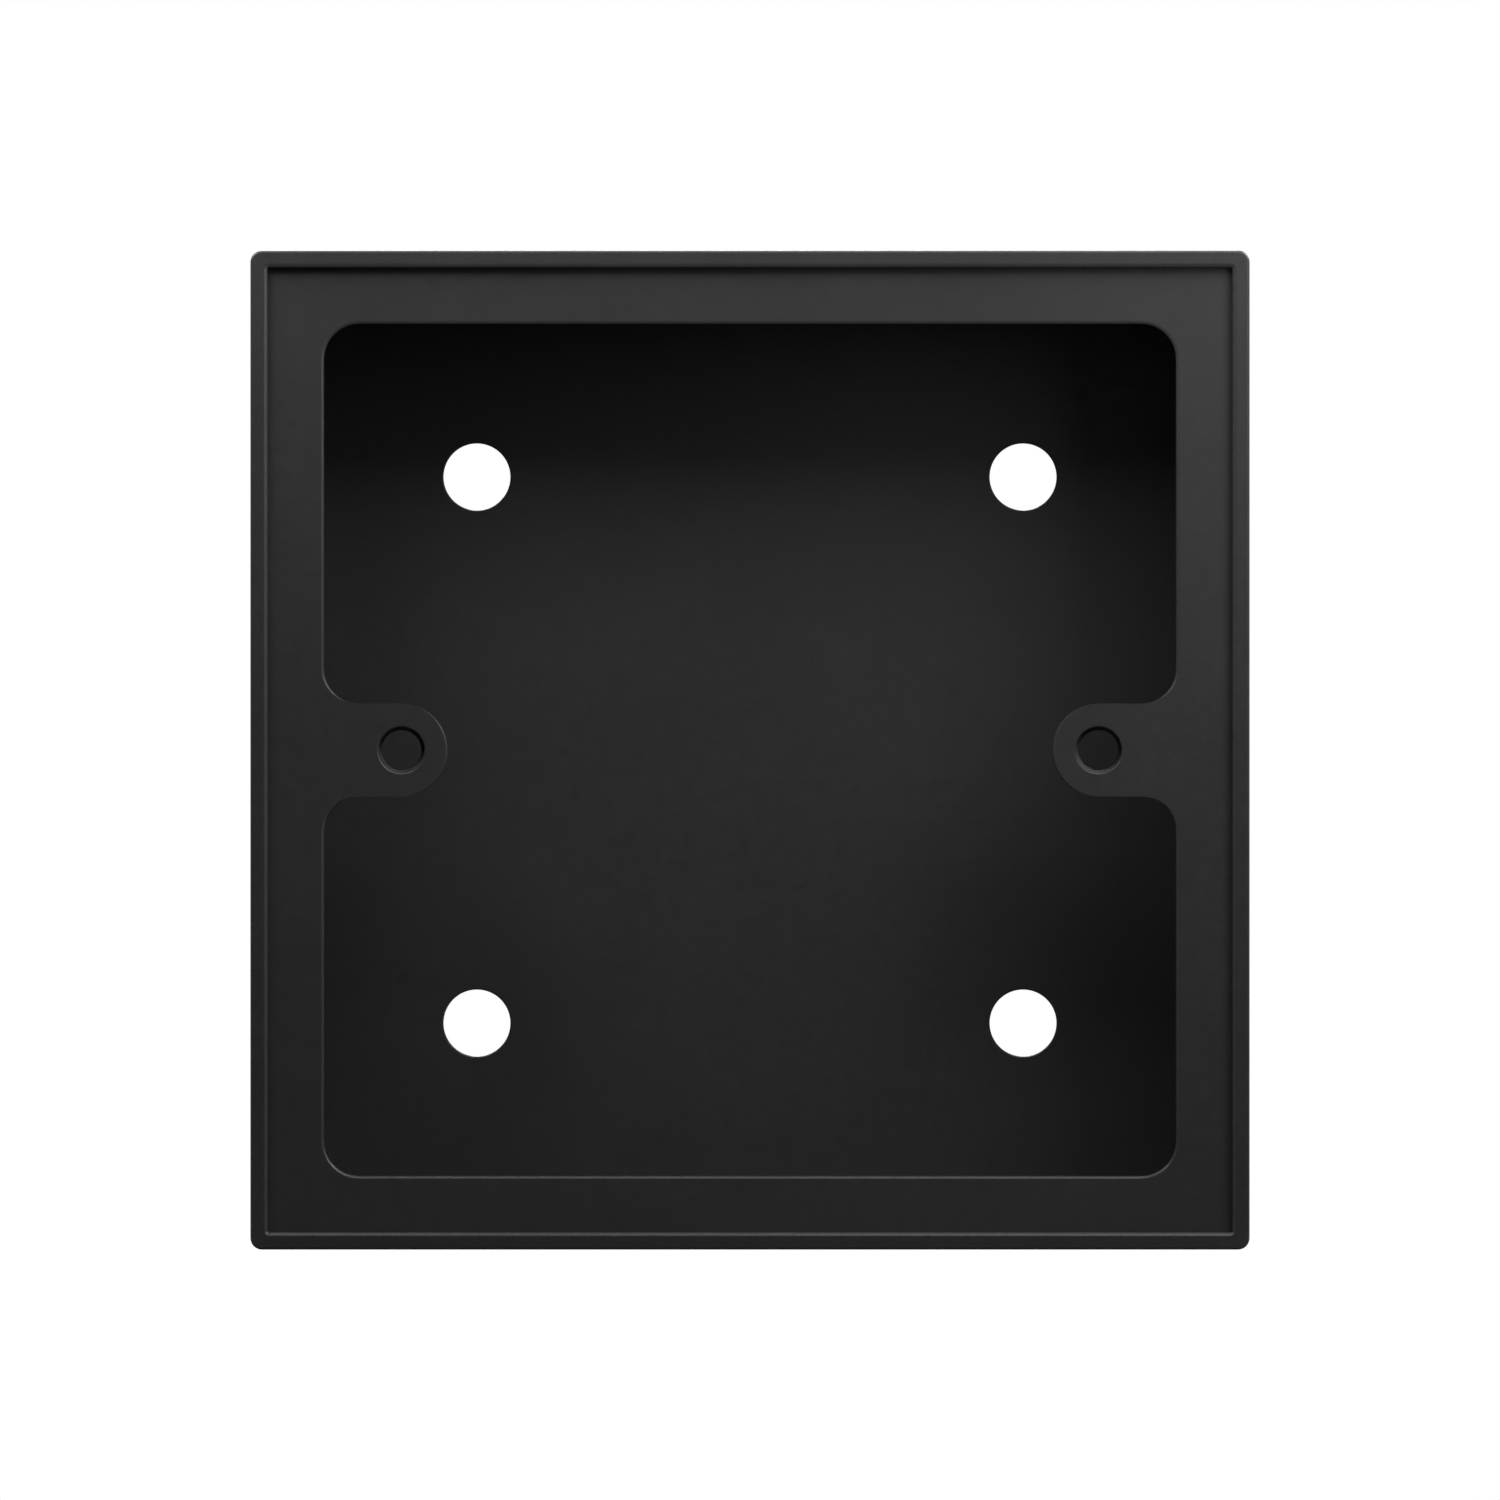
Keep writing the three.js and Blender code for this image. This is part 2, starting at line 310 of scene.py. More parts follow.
def lug_end(centre_x, start, grow):
    """The half circle round a lug's end, clockwise from start, its tip drawn in by a share of grow."""
    tip = LUG_END - grow * LUG_TIP_SHARE
    middle = start - QUARTER
    steps = 3 * CORNER_STEPS // 2
    first = arc(centre_x, 0, LUG_END, start, middle, steps, last_radius=tip)
    second = arc(centre_x, 0, tip, middle, middle - QUARTER, steps, last_radius=LUG_END)
    return first + second[1:]


def aperture(grow):
    """The opening with the two lugs reaching into it, its edge moved out into the landing by grow. The
    move dies away along the root fillets, and comes back in part round the lugs' ends."""
    corner = APERTURE_HALF - APERTURE_CORNER
    root = APERTURE_HALF - LUG_ROOT
    root_height = LUG_END + LUG_ROOT
    corner_radius = APERTURE_CORNER + grow
    root_radius = LUG_ROOT + grow
    points = arc(root, -root_height, root_radius, 0, QUARTER, last_radius=LUG_ROOT)
    points += lug_end(LUG_X, 3 * QUARTER, grow)
    points += arc(root, root_height, LUG_ROOT, -QUARTER, 0, last_radius=root_radius)
    points += arc(corner, corner, corner_radius, 0, QUARTER)
    points += arc(-corner, corner, corner_radius, QUARTER, 2 * QUARTER)
    points += arc(-root, root_height, root_radius, 2 * QUARTER, 3 * QUARTER, last_radius=LUG_ROOT)
    points += lug_end(-LUG_X, QUARTER, grow)
    points += arc(-root, -root_height, LUG_ROOT, QUARTER, 2 * QUARTER, last_radius=root_radius)
    points += arc(-corner, -corner, corner_radius, 2 * QUARTER, 3 * QUARTER)
    points += arc(corner, -corner, corner_radius, 3 * QUARTER, 4 * QUARTER)
    return points


def cavity(half):
    """The inside of the side walls, with a round-nosed screw post standing in each corner."""
    side = POST_CENTRE - POST_RADIUS
    nose = arc(POST_CENTRE, POST_CENTRE, POST_RADIUS, -QUARTER, -2 * QUARTER)
    return quarter_turns([(half, side), *nose, (side, half)])


def lug_column(side, radius):
    """The footprint of the column behind a lug, from its round end out into the side wall."""
    into_wall = HALF_SIDE - WALL / 2
    points = arc(LUG_X, 0, radius, 3 * QUARTER, QUARTER, 3 * CORNER_STEPS)
    points = [(into_wall, -radius), *points, (into_wall, radius)]
    return [(side * x, z) for x, z in points]


# ---- Mesh helpers --------------------------------------------------------------------------------


def ring(bm, outline, height):
    """A closed ring of vertices at one height."""
    return [bm.verts.new((x, -height, z)) for x, z in outline]


def skirt(bm, first, second):
    """Quads between two rings with the same number of points."""
    count = len(first)
    for index in range(count):
        after = (index + 1) % count
        bm.faces.new((first[index], first[after], second[after], second[index]))


def stack(bm, rings):
    """Skirts from each ring to the next."""
    for first, second in zip(rings, rings[1:]):
        skirt(bm, first, second)


def cap(bm, *rings):
    """Fills the flat face between an outer ring and any rings inside it."""
    edges = []
    for loop in rings:
        for index, vert in enumerate(loop):
            after = loop[(index + 1) % len(loop)]
            edges.append(bm.edges.get((vert, after)) or bm.edges.new((vert, after)))
    bmesh.ops.triangle_fill(bm, edges=edges, use_beauty=True)


def rounding(radius):
    """Steps round a quarter edge, from the flat face to the side face, as (distance from the side
    face, distance from the flat face)."""
    steps = []
    for step in range(EDGE_STEPS + 1):
        angle = QUARTER * step / EDGE_STEPS
        steps.append((radius * (1 - math.sin(angle)), radius * (1 - math.cos(angle))))
    return steps


def front_edge(bm, outline, edge, front):
    """Rings round an edge from the flat face at height front to the side face behind it.
    outline(away) draws the ring that lies that far from the side face."""
    return [ring(bm, outline(away), front - drop) for away, drop in rounding(edge)]


def both_edges(bm, outline, edge, front):
    """Rings up a side face from the wall plane to the flat face at height front, both its edges
    rounded. outline(away) draws the ring that lies that far from the side face."""
    rear = [ring(bm, outline(away), drop) for away, drop in rounding(edge)]
    ahead = [ring(bm, outline(away), front - drop) for away, drop in reversed(rounding(edge))]
    return rear + ahead


def blind_hole(bm, outline, mouth_height, floor_height):
    """A flat-bottomed hole; gives the ring at its mouth."""
    mouth = ring(bm, outline, mouth_height)
    floor = ring(bm, outline, floor_height)
    skirt(bm, mouth, floor)
    cap(bm, floor)
    return mouth


def finish_mesh(bm, name):
    """Closes a bmesh into an object whose faces point out."""
    bmesh.ops.recalc_face_normals(bm, faces=bm.faces)
    mesh = bpy.data.meshes.new(name)
    bm.to_mesh(mesh)
    bm.free()
    obj = bpy.data.objects.new(name, mesh)
    bpy.context.scene.collection.objects.link(obj)
    return obj


def weld(mesh):
    """Joins points that lie together, and drops the faces and edges that this leaves empty."""
    bm = bmesh.new()
    bm.from_mesh(mesh)
    bmesh.ops.remove_doubles(bm, verts=bm.verts, dist=WELD)
    bmesh.ops.dissolve_degenerate(bm, edges=bm.edges, dist=WELD)
    bm.to_mesh(mesh)
    bm.free()


def combine(obj, tool, operation):
    """Joins a tool to the object, or cuts it away, and deletes the tool. It works in millimetres,
    because the solver's own tolerance is too coarse for this object in metres."""
    for mesh in (obj.data, tool.data):
        mesh.transform(Matrix.Scale(1 / MM, 4))
    modifier = obj.modifiers.new("combine", "BOOLEAN")
    modifier.operation = operation
    modifier.solver = "EXACT"
    modifier.object = tool
    graph = bpy.context.evaluated_depsgraph_get()
    mesh = bpy.data.meshes.new_from_object(obj.evaluated_get(graph))
    weld(mesh)
    mesh.transform(Matrix.Scale(MM, 4))
    obj.modifiers.clear()
    old = obj.data
    name = old.name
    obj.data = mesh
    bpy.data.meshes.remove(old)
    mesh.name = name
    bpy.data.objects.remove(tool)


def smooth(obj):
    """Rounded stretches shade smoothly, and flat faces stay flat right up to the rounding they meet."""
    mesh = obj.data
    faces = mesh.polygons
    flat = [max(abs(part) for part in face.normal) > FLAT for face in faces]
    around = [[] for _ in mesh.vertices]
    for face in faces:
        face.use_smooth = True
        for vertex in face.vertices:
            around[vertex].append(face.index)
    normals = []
    for face in faces:
        for vertex in face.vertices:
            near = [i for i in around[vertex] if faces[i].normal.dot(face.normal) > SMOOTH_LIMIT]
            near = [i for i in near if flat[i]] or near
            total = Vector()
            for i in near:
                total += faces[i].normal * faces[i].area
            normals.append(total.normalized())
    mesh.normals_split_custom_set(normals)


# ---- The shell -----------------------------------------------------------------------------------


def shell_skin(bm):
    """The outer skin, and the lip's inner step down to the landing. Gives the ring at the rear face
    and the one at the lip's foot."""
    lip_half = HALF_SIDE - LIP_WIDTH

    def outer(inset):
        return rounded_square(HALF_SIDE - inset, OUTER_CORNER - inset)

    def inner(grow):
        return rounded_square(lip_half + grow, LIP_CORNER + grow)

    outside = both_edges(bm, outer, OUTER_EDGE, DEPTH)
    lip_edge = front_edge(bm, inner, LIP_EDGE, DEPTH)
    foot = ring(bm, inner(0), LANDING_FRONT)
    stack(bm, [*outside, *lip_edge, foot])
    return outside[0], foot


def lug_hole(side):
    """The outline of a lug's hole, as a function of how far its edge is moved out."""

    def outline(grow):
        return circle(side * LUG_X, 0, LUG_HOLE + grow)

    return outline


def landing_opening(bm, outline, edge):
    """An opening through the landing, as rings from its front face to its back."""
    rings = front_edge(bm, outline, edge, LANDING_FRONT)
    rings.append(ring(bm, outline(0), LANDING_BACK))
    stack(bm, rings)
    return rings


def shell_landing(bm, foot):
    """The landing inside the lip's foot, with the aperture and the two lug holes through it. Gives
    the rings where these come out behind."""
    openings = [landing_opening(bm, aperture, APERTURE_EDGE)]
    openings += [landing_opening(bm, lug_hole(side), LUG_HOLE_EDGE) for side in SIDES.values()]
    cap(bm, foot, *[rings[0] for rings in openings])
    return [rings[-1] for rings in openings]


def shell_inside(bm, rear_rim, landing_loops):
    """Behind the landing: the cavity with its posts, then the rebate that takes the rear plate."""
    outline = cavity(HALF_SIDE - WALL)
    cavity_front = ring(bm, outline, LANDING_BACK)
    cavity_back = ring(bm, outline, PLATE_THICKNESS)
    skirt(bm, cavity_front, cavity_back)
    cap(bm, cavity_front, *landing_loops)
    rebate_front = ring(bm, rounded_square(REBATE_HALF, REBATE_CORNER), PLATE_THICKNESS)
    rebate_back = ring(bm, rounded_square(REBATE_HALF, REBATE_CORNER), 0)
    stack(bm, [rebate_front, rebate_back, rear_rim])
    pilots = []
    for sign_x, sign_z in CORNERS.values():
        pilot = circle(sign_x * POST_CENTRE, sign_z * POST_CENTRE, PILOT_RADIUS)
        pilots.append(blind_hole(bm, pilot, PLATE_THICKNESS, PLATE_THICKNESS + PILOT_DEPTH))
    cap(bm, rebate_front, cavity_back, *pilots)


def shell_body():
    """Side walls, lip, landing with its aperture and lug holes, corner posts and rear rebate."""
    bm = bmesh.new()
    rear_rim, foot = shell_skin(bm)
    landing_loops = shell_landing(bm, foot)
    shell_inside(bm, rear_rim, landing_loops)
    return finish_mesh(bm, "box_shell_moulding")


def lug_columns_tool():
    """The columns behind the lugs: tubes whose pockets hold the threaded inserts."""
    bm = bmesh.new()
    top = LANDING_BACK + COLUMN_EMBED
    bottom = LANDING_FRONT - COLUMN_LENGTH
    top_radius = LUG_END - COLUMN_STEP
    bottom_radius = top_radius - COLUMN_DRAFT
    for side in SIDES.values():
        outside = [ring(bm, lug_column(side, top_radius), top)]
        outside += [
            ring(bm, lug_column(side, bottom_radius - inset), bottom + drop)
            for inset, drop in reversed(rounding(COLUMN_EDGE))
        ]
        inside = [
            ring(bm, circle(side * LUG_X, 0, radius), height)
            for radius, height in (
                (COLUMN_POCKET, top),
                (COLUMN_POCKET, bottom + INSERT_CHAMFER),
                (COLUMN_POCKET + INSERT_CHAMFER, bottom),
            )
        ]
        stack(bm, outside)
        stack(bm, inside)
        cap(bm, outside[0], inside[0])
        cap(bm, outside[-1], inside[-1])
    return finish_mesh(bm, "columns_tool")


def knockouts_tool():
    """Rings that cut a score line with softened lips into the outside of the top and bottom walls."""
    bm = bmesh.new()
    inner = KNOCKOUT_RADIUS - SCORE_WIDTH
    profile = [
        (inner - SCORE_EDGE - SCORE_OVER, SCORE_OVER),
        (inner, -SCORE_EDGE),
        (inner + SCORE_TAPER, -SCORE_DEPTH),
        (KNOCKOUT_RADIUS - SCORE_TAPER, -SCORE_DEPTH),
        (KNOCKOUT_RADIUS, -SCORE_EDGE),
        (KNOCKOUT_RADIUS + SCORE_EDGE + SCORE_OVER, SCORE_OVER),
    ]
    centre = -(PLATE_THICKNESS + LANDING_BACK) / 2
    for sign in (1, -1):
        rings = []
        for radius, rise in profile:
            z = sign * (HALF_SIDE + rise)
            rings.append([bm.verts.new((x, centre + y, z)) for x, y in circle(0, 0, radius)])
        stack(bm, [*rings, rings[0]])
    return finish_mesh(bm, "knockouts_tool")


def build_shell():
    shell = shell_body()
    combine(shell, lug_columns_tool(), "UNION")
    combine(shell, knockouts_tool(), "DIFFERENCE")
    smooth(shell)
    return shell


# ---- The rear plate ------------------------------------------------------------------------------


def wall_hole(bm, x, z):
    """A wall-screw hole with both its edges rounded, as rings from the rear face to the front."""

    def outline(grow):
        return circle(x, z, WALL_HOLE_RADIUS + grow)

    return both_edges(bm, outline, WALL_HOLE_EDGE, PLATE_THICKNESS)


def countersunk_hole(bm, x, z):
    """A hole that takes a countersunk head from behind, as rings from the rear face to the front."""
    cone_end = SCREW_HEAD_HEIGHT + COUNTERSINK_RADIUS - PLATE_SCREW_HOLE
    return [
        ring(bm, circle(x, z, radius), height)
        for radius, height in (
            (COUNTERSINK_RADIUS, 0),
            (COUNTERSINK_RADIUS, SCREW_HEAD_HEIGHT),
            (PLATE_SCREW_HOLE, cone_end),
            (PLATE_SCREW_HOLE, PLATE_THICKNESS),
        )
    ]


def build_plate():
    """The flat back: wall-screw holes, countersunk corner holes and shallow ejector marks."""
    bm = bmesh.new()

    def outline(inset):
        return rounded_square(PLATE_HALF - inset, PLATE_CORNER - inset)

    sides = both_edges(bm, outline, PLATE_EDGE, PLATE_THICKNESS)
    stack(bm, sides)
    rear_loops = [sides[0]]
    front_loops = [sides[-1]]
    for sign_x, sign_z in CORNERS.values():
        hole = wall_hole(bm, sign_x * WALL_HOLE_OFFSET, sign_z * WALL_HOLE_OFFSET)
        countersink = countersunk_hole(bm, sign_x * POST_CENTRE, sign_z * POST_CENTRE)
        for loops in (hole, countersink):
            stack(bm, loops)
            rear_loops.append(loops[0])
            front_loops.append(loops[-1])
    for x, z in circle(0, 0, EJECTOR_OFFSET, EJECTOR_MARKS):
        rear_loops.append(blind_hole(bm, circle(x, z, EJECTOR_RADIUS), 0, EJECTOR_DEPTH))
    cap(bm, *rear_loops)
    cap(bm, *front_loops)
    plate = finish_mesh(bm, "rear_plate_moulding")
    smooth(plate)
    return plate


# ---- Turned metal pieces -------------------------------------------------------------------------


def turned_rings(bm, centre_x, centre_z, rows, sides):
    """One ring per row. A row is (radius, height), and its radius may be a function of the angle."""
    rings = []
    for radius, height in rows:
        verts = []
        for index in range(sides):
            angle = 2 * math.pi * index / sides
            reach = radius(angle) if callable(radius) else radius
            x = centre_x + reach * math.cos(angle)
            z = centre_z + reach * math.sin(angle)
            verts.append(bm.verts.new((x, -height, z)))
        rings.append(verts)
    return rings


def thread(height, pitch, root, crest):
    """The radius round a right-hand thread at one height, as a function of the angle."""

    def radius(angle):
        phase = (height / pitch - angle / (2 * math.pi)) % 1
        ridge = max(0, 1 - abs(phase - 0.5) * 2 / THREAD_RIDGE_SHARE)
        return root + (crest - root) * ridge

    return radius


def recess_tool(x, z, top):
    """A cross recess that narrows as it goes down into a screw head."""
    bm = bmesh.new()
    levels = []
    for height, share in ((top - RECESS_OVER, 1.0), (top, 1.0), (top + RECESS_DEPTH, RECESS_TAPER)):
        arm = RECESS_LENGTH / 2 * share
        half = RECESS_WIDTH / 2 * (1 + share) / 2
        cross = quarter_turns([(arm, -half), (arm, half), (half, half)])
        levels.append(ring(bm, [(x + right, z + up) for right, up in cross], height))
    stack(bm, levels)
    cap(bm, levels[0])
    cap(bm, levels[-1])
    return finish_mesh(bm, "recess_tool")


def screw_rows(top, tip):
    """The screw's rows from the face of its head to just before its tip."""
    neck = top + SCREW_HEAD_RADIUS - THREAD_CORE
    rows = [
        (SCREW_HEAD_RADIUS - SCREW_HEAD_RIM / 2, top),
        (SCREW_HEAD_RADIUS, top + SCREW_HEAD_RIM / 2),
        (SCREW_HEAD_RADIUS, top + SCREW_HEAD_RIM),
        (THREAD_CORE, neck + SCREW_HEAD_RIM),
    ]
    start = neck + 2 * SCREW_HEAD_RIM
    length = tip - start
    count = math.ceil(length / THREAD_PITCH * THREAD_ROWS)
    for index in range(count):
        height = start + length * index / count
        from_tip = (tip - height) / SCREW_POINT
        from_start = (height - start) / THREAD_PITCH
        taper = min(1, math.sqrt(max(from_tip, 0)))
        crest = THREAD_CORE + (THREAD_CREST - THREAD_CORE) * min(1, from_start)
        rows.append((thread(height, THREAD_PITCH, THREAD_CORE * taper, crest * taper), height))
    return rows


def build_screw(name, sign_x, sign_z):
    """A countersunk self-tapping screw, its head towards the wall and its point in the post."""
    bm = bmesh.new()
    x = sign_x * POST_CENTRE
    z = sign_z * POST_CENTRE
    top = SCREW_HEAD_HEIGHT
    tip = top + SCREW_LENGTH
    rings = turned_rings(bm, x, z, screw_rows(top, tip), SCREW_SIDES)
    stack(bm, rings)
    cap(bm, rings[0])
    point = bm.verts.new((x, -tip, z))
    last = rings[-1]
    for index, vert in enumerate(last):
        bm.faces.new((vert, last[(index + 1) % len(last)], point))
    screw = finish_mesh(bm, name)
    combine(screw, recess_tool(x, z, top), "DIFFERENCE")
    smooth(screw)
    return screw


def knurl(height, radius, hand):
    """The radius round a diagonal knurl at one height, as a function of the angle."""

    def reach(angle):
        wave = math.cos(KNURL_TEETH * angle + hand * KNURL_TWIST * height / MM * 2 * math.pi)
        return radius - KNURL_DEPTH * (0.5 - 0.5 * wave)

    return reach


def knurled_band(hand, high, low):
    """The rows of one knurled band, from height high down to low."""
    root = INSERT_RADIUS - KNURL_DEPTH
    rows = [(root, high + KNURL_LEAD)]
    for step in range(KNURL_ROWS + 1):
        height = high + (low - high) * step / KNURL_ROWS
        rows.append((knurl(height, INSERT_RADIUS, hand), height))
    rows.append((root, low - KNURL_LEAD))
    return rows


def insert_rows(top, bottom):
    """The insert's rows: down its outside from height top to bottom, then back up its bore."""
    root = INSERT_RADIUS - KNURL_DEPTH
    groove = INSERT_RADIUS - GROOVE_DEPTH
    groove_top = (top + bottom) / 2 + GROOVE_HALF
    groove_bottom = (top + bottom) / 2 - GROOVE_HALF
    rows = [(INSERT_CREST + INSERT_LEAD, top), (root - INSERT_CHAMFER, top)]
    rows += knurled_band(1, top - INSERT_CHAMFER, groove_top)
    rows.append((groove, groove_top - 2 * KNURL_LEAD))
    rows.append((groove, groove_bottom + 2 * KNURL_LEAD))
    rows += knurled_band(-1, groove_bottom, bottom + INSERT_CHAMFER)
    rows += [(root - INSERT_CHAMFER, bottom), (INSERT_CREST + INSERT_CHAMFER, bottom)]
    bore_low = bottom + INSERT_CHAMFER
    bore_high = top - INSERT_LEAD
    outward = INSERT_CREST + INSERT_THREAD_DEPTH
    count = math.ceil((bore_high - bore_low) / INSERT_PITCH * THREAD_ROWS)
    for index in range(count + 1):
        height = bore_low + (bore_high - bore_low) * index / count
        rows.append((thread(height, INSERT_PITCH, outward, INSERT_CREST), height))
    return rows


def build_insert(name, side):
    """A threaded insert with two knurled bands, pushed into its lug from behind."""
    bm = bmesh.new()
    rows = insert_rows(LANDING_BACK - INSERT_SEAT_GAP, LANDING_BACK - INSERT_LENGTH)
    rings = turned_rings(bm, side * LUG_X, 0, rows, INSERT_SIDES)
    stack(bm, [*rings, rings[0]])
    insert = finish_mesh(bm, name)
    smooth(insert)
    return insert


# ---- Materials -----------------------------------------------------------------------------------


class Nodes:
    """Adds shader nodes to a material and joins them up."""

    def __init__(self, name):
        self.material = bpy.data.materials.new(name)
        self.material.use_nodes = True
        self.tree = self.material.node_tree
        self.shader = self.tree.nodes["Principled BSDF"]
        self.place = self.add("ShaderNodeTexCoord").outputs["Object"]

    def add(self, kind, **settings):
        node = self.tree.nodes.new(kind)
        for key, value in settings.items():
            setattr(node, key, value)
        return node

    def set(self, node, socket, value):
        if isinstance(value, bpy.types.NodeSocket):
            self.tree.links.new(value, node.inputs[socket])
        else:
            node.inputs[socket].default_value = value

    def noise(self, size, detail=2.0, roughness=0.5):
        """Smooth noise whose blobs are about size across."""
        node = self.add("ShaderNodeTexNoise")
        self.set(node, "Vector", self.place)
        self.set(node, "Scale", 1 / size)
        self.set(node, "Detail", detail)
        self.set(node, "Roughness", roughness)
        return node.outputs["Fac"]

    def spread(self, value, low, high, start=NOISE_LOW, end=NOISE_HIGH):
        """Maps a value from start..end to low..high, held at the ends."""
        node = self.add("ShaderNodeMapRange")
        self.set(node, "Value", value)
        self.set(node, "From Min", start)
        self.set(node, "From Max", end)
        self.set(node, "To Min", low)
        self.set(node, "To Max", high)
        return node.outputs["Result"]

    def math(self, operation, first, second):
        node = self.add("ShaderNodeMath", operation=operation)
        self.set(node, 0, first)
        self.set(node, 1, second)
        return node.outputs[0]

    def scaled(self, value, share):
        return self.math("MULTIPLY", value, share)

    def edges(self):
        """1 halfway round a rounded edge, 0 on faces that lie along the wall or stand square to it."""
        parts = self.add("ShaderNodeSeparateXYZ")
        self.set(parts, 0, self.add("ShaderNodeNewGeometry").outputs["Normal"])
        facing = self.math("MULTIPLY", parts.outputs["Y"], parts.outputs["Y"])
        turned = self.math("SUBTRACT", 1.0, facing)
        # The product of a share and its rest is a quarter at most.
        return self.scaled(self.math("MULTIPLY", facing, turned), 4.0)

    def grey(self, value):
        node = self.add("ShaderNodeCombineColor")
        for channel in ("Red", "Green", "Blue"):
            self.set(node, channel, value)
        return node.outputs["Color"]

    def mix(self, share, first, second):
        """A colour that goes from first to second as share goes from 0 to 1."""
        node = self.add("ShaderNodeMix", data_type="RGBA")
        self.set(node, "Factor", share)
        # The node has an A and a B for each kind of value; these are the colour's, by place.
        self.set(node, 6, (*first, 1))
        self.set(node, 7, (*second, 1))
        return node.outputs[2]

    def bump(self, height, distance):
        node = self.add("ShaderNodeBump")
        self.set(node, "Height", height)
        self.set(node, "Distance", distance)
        self.set(node, "Strength", BUMP_STRENGTH)
        return node.outputs["Normal"]

    def finish(self, **sockets):
        for socket, value in sockets.items():
            self.set(self.shader, socket.replace("_", " "), value)
        return self.material


def black_plastic(name, tone, roughness):
    """Matte black moulded plastic: fine spark-eroded grain, faint specks and flow mottling, and
    burnished edges whose colour is also lightened as a painted highlight."""
    nodes = Nodes(name)
    grain = nodes.noise(PLASTIC_GRAIN, detail=3.0, roughness=0.6)
    edge_polish_and_highlight = nodes.edges()
    mottle = nodes.spread(nodes.noise(MOTTLE), 1 - MOTTLE_SHARE, 1 + MOTTLE_SHARE)
    speckle = nodes.spread(nodes.noise(SPECKLE), 1 - SPECKLE_SHARE, 1 + SPECKLE_SHARE)
    # The rounded edges' colour is lightened as a painted highlight; the mottle and specks are the
    # plastic's own tone.
    mottle_and_edge_highlight = nodes.math("ADD", nodes.math("MULTIPLY", mottle, speckle), nodes.scaled(edge_polish_and_highlight, EDGE_PAINTED_HIGHLIGHT))
    low, high = roughness - SHEEN_CHANGE, roughness + SHEEN_CHANGE
    sheen = nodes.spread(nodes.noise(SHEEN_PATCH), low, high)
    return nodes.finish(
        Base_Color=nodes.grey(nodes.scaled(mottle_and_edge_highlight, tone)),
        Roughness=nodes.math("SUBTRACT", sheen, nodes.scaled(edge_polish_and_highlight, EDGE_POLISH)),
        Normal=nodes.bump(grain, PLASTIC_GRAIN_DEPTH),
    )


def treated_steel(name, colour, roughness, metallic):
    """Plated or blackened steel: a fine grain, an uneven finish and smoother rubbed edges."""
    nodes = Nodes(name)
    patches = nodes.noise(STEEL_PATCH, detail=4.0, roughness=0.6)
    grain = nodes.noise(STEEL_GRAIN)
    darker = [channel * (1 - STEEL_PATCH_SHARE) for channel in colour]
    sheen = nodes.spread(patches, roughness + 2 * SHEEN_CHANGE, roughness - 2 * SHEEN_CHANGE)
    polish = nodes.scaled(nodes.edges(), STEEL_EDGE_POLISH)
    return nodes.finish(
        Base_Color=nodes.mix(nodes.spread(patches, 0, 1), darker, colour),
        Metallic=metallic,
        Roughness=nodes.math("SUBTRACT", sheen, polish),
        Normal=nodes.bump(grain, STEEL_GRAIN_DEPTH),
    )


# ---- Stage ---------------------------------------------------------------------------------------


def area_light(name, place, size, power):
    """A soft light of size (width, height) at place, facing the box, that the camera doesn't see."""
    data = bpy.data.lights.new(name, "AREA")
    data.shape = "RECTANGLE"
    data.size, data.size_y = size
    data.energy = power
    light = bpy.data.objects.new(name, data)
    light.location = place
    facing = Vector(LIGHT_TARGET) - Vector(place)
    light.rotation_euler = facing.to_track_quat("-Z", "Y").to_euler()
    light.visible_camera = False
    bpy.context.scene.collection.objects.link(light)


def build_floor():
    """A plain pale floor that the box stands on, fading into the white surround away from the box.
    Only the camera sees it as pale: to other rays it is dark, so that no light bounces up from it
    into the open front."""
    bm = bmesh.new()
    bmesh.ops.create_grid(bm, x_segments=1, y_segments=1, size=FLOOR_HALF)
    mesh = bpy.data.meshes.new("floor")
    bm.to_mesh(mesh)
    bm.free()
    floor = bpy.data.objects.new("floor", mesh)
    floor.location = (0, 0, cad_low.z)
    bpy.context.scene.collection.objects.link(floor)
    nodes = Nodes("pale_floor")
    seen = nodes.add("ShaderNodeLightPath").outputs["Is Camera Ray"]
    tone = nodes.math("MAXIMUM", nodes.scaled(seen, FLOOR_TONE), FLOOR_BOUNCE)
    distance = nodes.add("ShaderNodeVectorMath", operation="LENGTH")
    nodes.set(distance, 0, nodes.place)
    solid = nodes.spread(distance.outputs["Value"], 1, 0, FLOOR_FADE_START, FLOOR_FADE_END)
    floor.data.materials.append(
        nodes.finish(Base_Color=nodes.grey(tone), Roughness=FLOOR_ROUGHNESS, Alpha=solid)
    )


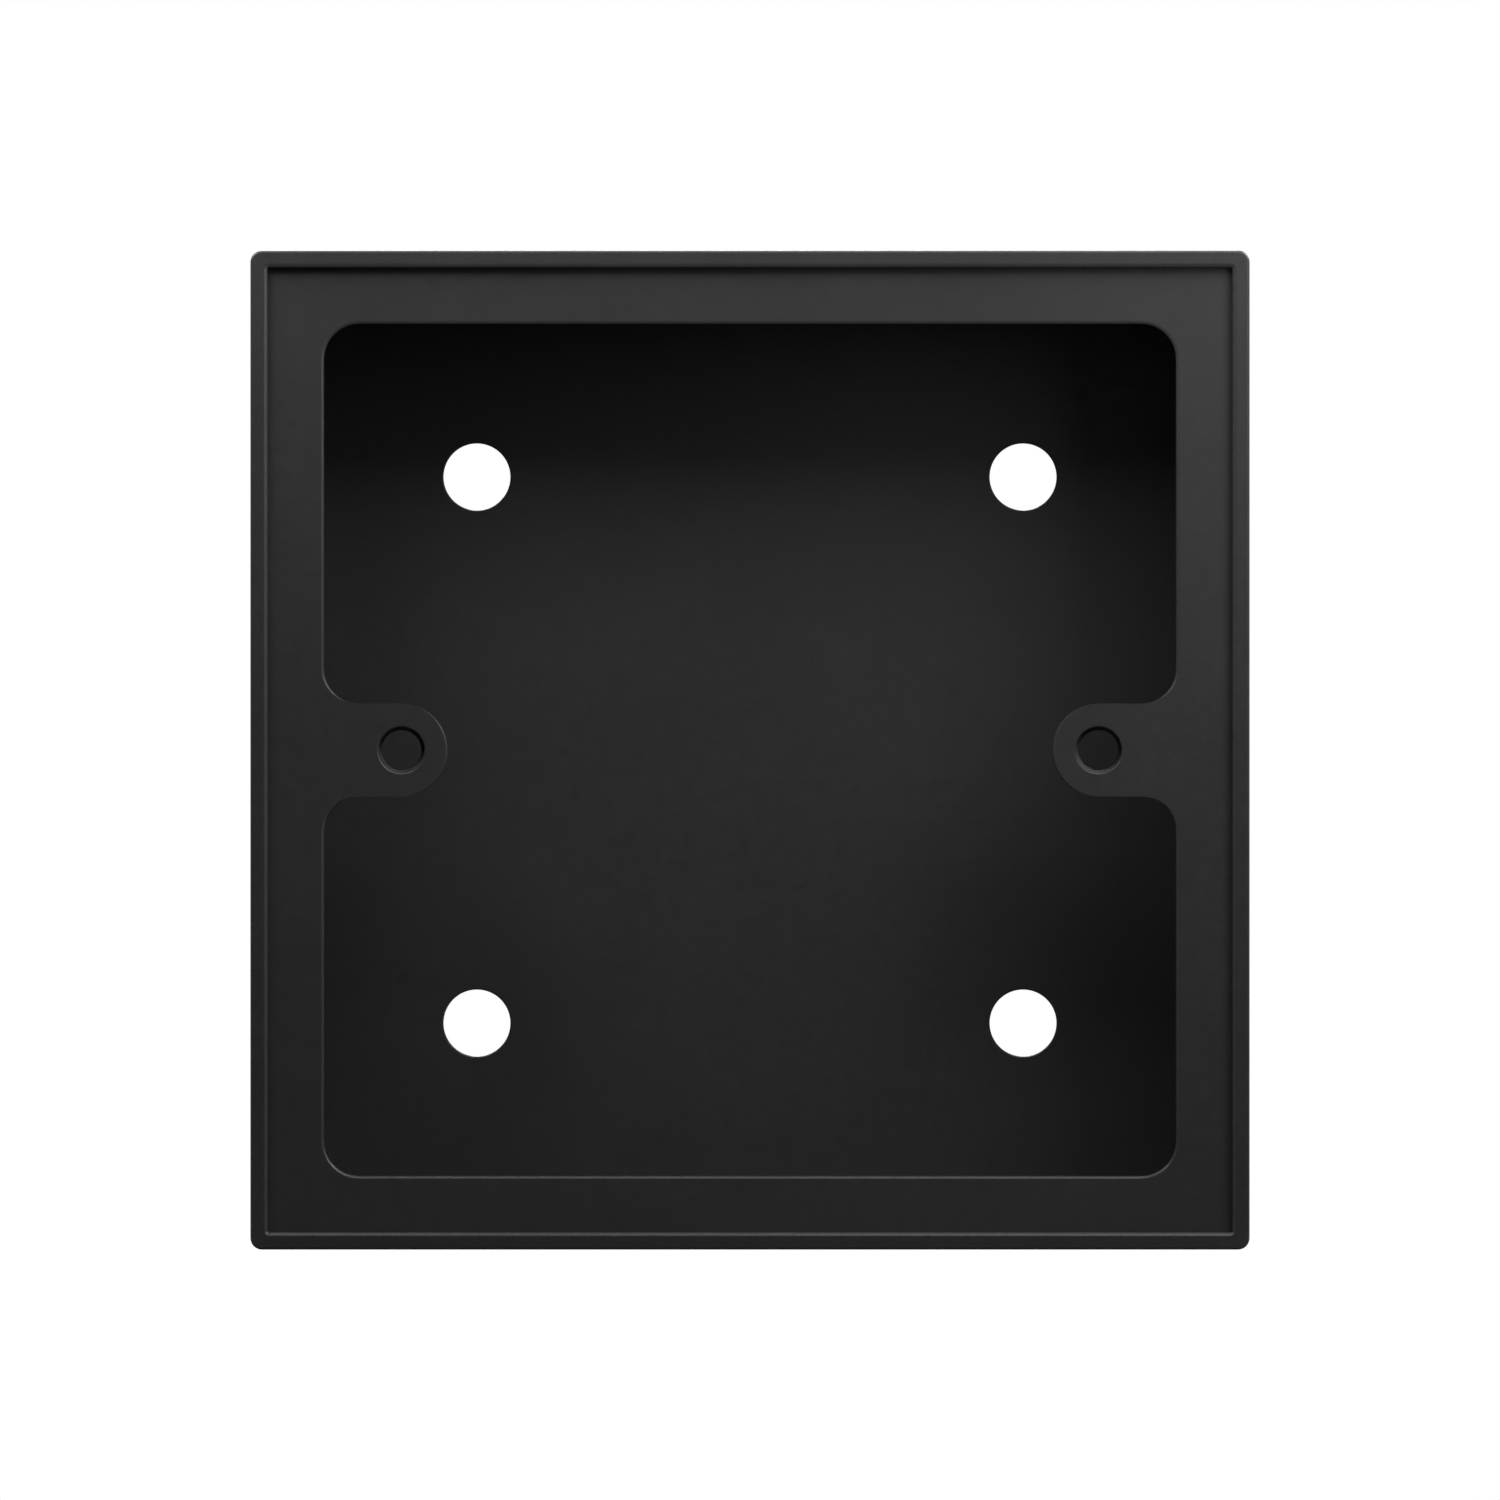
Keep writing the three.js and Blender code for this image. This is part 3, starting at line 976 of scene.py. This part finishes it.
def build_world():
    """A plain white surround that only the camera sees."""
    world = bpy.data.worlds.new("studio")
    world.use_nodes = True
    bpy.context.scene.world = world
    tree = world.node_tree
    background = tree.nodes["Background"]
    background.inputs["Color"].default_value = (1, 1, 1, 1)
    path = tree.nodes.new("ShaderNodeLightPath")
    tree.links.new(path.outputs["Is Camera Ray"], background.inputs["Strength"])


def build_camera():
    """Square-on to the front and without perspective."""
    data = bpy.data.cameras.new("front_camera")
    data.type = "ORTHO"
    data.ortho_scale = VIEW_SHARE * 2 * HALF_SIDE
    camera = bpy.data.objects.new("front_camera", data)
    centre = (cad_low + cad_high) / 2
    camera.location = (centre.x, cad_low.y - CAMERA_DISTANCE, centre.z)
    camera.rotation_euler = (QUARTER, 0, 0)
    bpy.context.scene.collection.objects.link(camera)
    bpy.context.scene.camera = camera


# ---- Assembly ------------------------------------------------------------------------------------


def place(piece, node, slot, material):
    """Stands a finished piece in for its CAD node."""
    piece.data.materials.clear()
    piece.data.materials.append(material)
    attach(piece, "root")
    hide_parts(node)


shell_plastic = black_plastic("shell_plastic", PLASTIC_TONE, SHELL_ROUGHNESS)
plate_plastic = black_plastic("plate_plastic", PLASTIC_TONE, PLATE_ROUGHNESS)
screw_steel = treated_steel("screw_steel", SCREW_COLOUR, SCREW_ROUGHNESS, SCREW_METALLIC)
insert_steel = treated_steel("insert_steel", INSERT_COLOUR, INSERT_ROUGHNESS, INSERT_METALLIC)

place(build_shell(), "box_shell", "shell_plastic", shell_plastic)
place(build_plate(), "rear_plate", "plate_plastic", plate_plastic)
for corner, (sign_x, sign_z) in CORNERS.items():
    node = f"plate_screw_{corner}"
    place(build_screw(f"{node}_steel", sign_x, sign_z), node, "screw_steel", screw_steel)
for side_name, side in SIDES.items():
    node = f"lug_insert_{side_name}"
    place(build_insert(f"{node}_steel", side), node, "insert_steel", insert_steel)

build_floor()
build_world()
for light_name, (light_place, light_size, light_power) in LIGHTS.items():
    area_light(light_name, light_place, light_size, light_power)
build_camera()
bpy.context.scene.view_settings.view_transform = "Standard"
